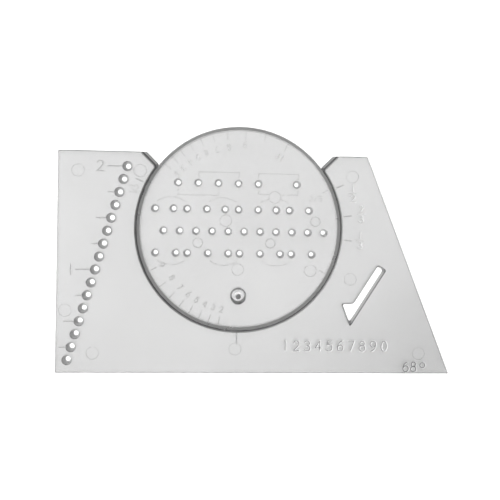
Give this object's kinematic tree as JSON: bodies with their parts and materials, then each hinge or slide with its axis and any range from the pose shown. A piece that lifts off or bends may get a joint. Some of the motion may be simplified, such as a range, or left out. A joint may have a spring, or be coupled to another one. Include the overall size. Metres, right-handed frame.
{
  "type": "lettering guide",
  "caption": "Flat transparent lettering guide: a frame with an upright end and a slanted end holds a turning disc with rows of tapered pencil holes and a small knob.",
  "frame": {"origin": "middle of the part's footprint, on the underside that lies on the paper", "axes": "+X along the base edge towards the slanted end, +Y up the frame towards the disc's free rim, +Z out of the top face"},
  "size_m": [0.098, 0.061, 0.003],
  "materials": {
    "frame_plastic": "polished clear moulding, satin hole and slot walls",
    "disc_plastic": "polished clear moulding, satin rim and hole walls"
  },
  "bodies": {
    "frame": {"frame": "frame_plastic"},
    "disc": {"disc": "disc_plastic"}
  },
  "joints": [
    {"name": "disc_turn", "type": "hinge", "parent": "frame", "child": "disc", "pos_m": [-0.0047, 0.00535, 0.0008], "axis": [0, 0, 1], "continuous": true}
  ]
}
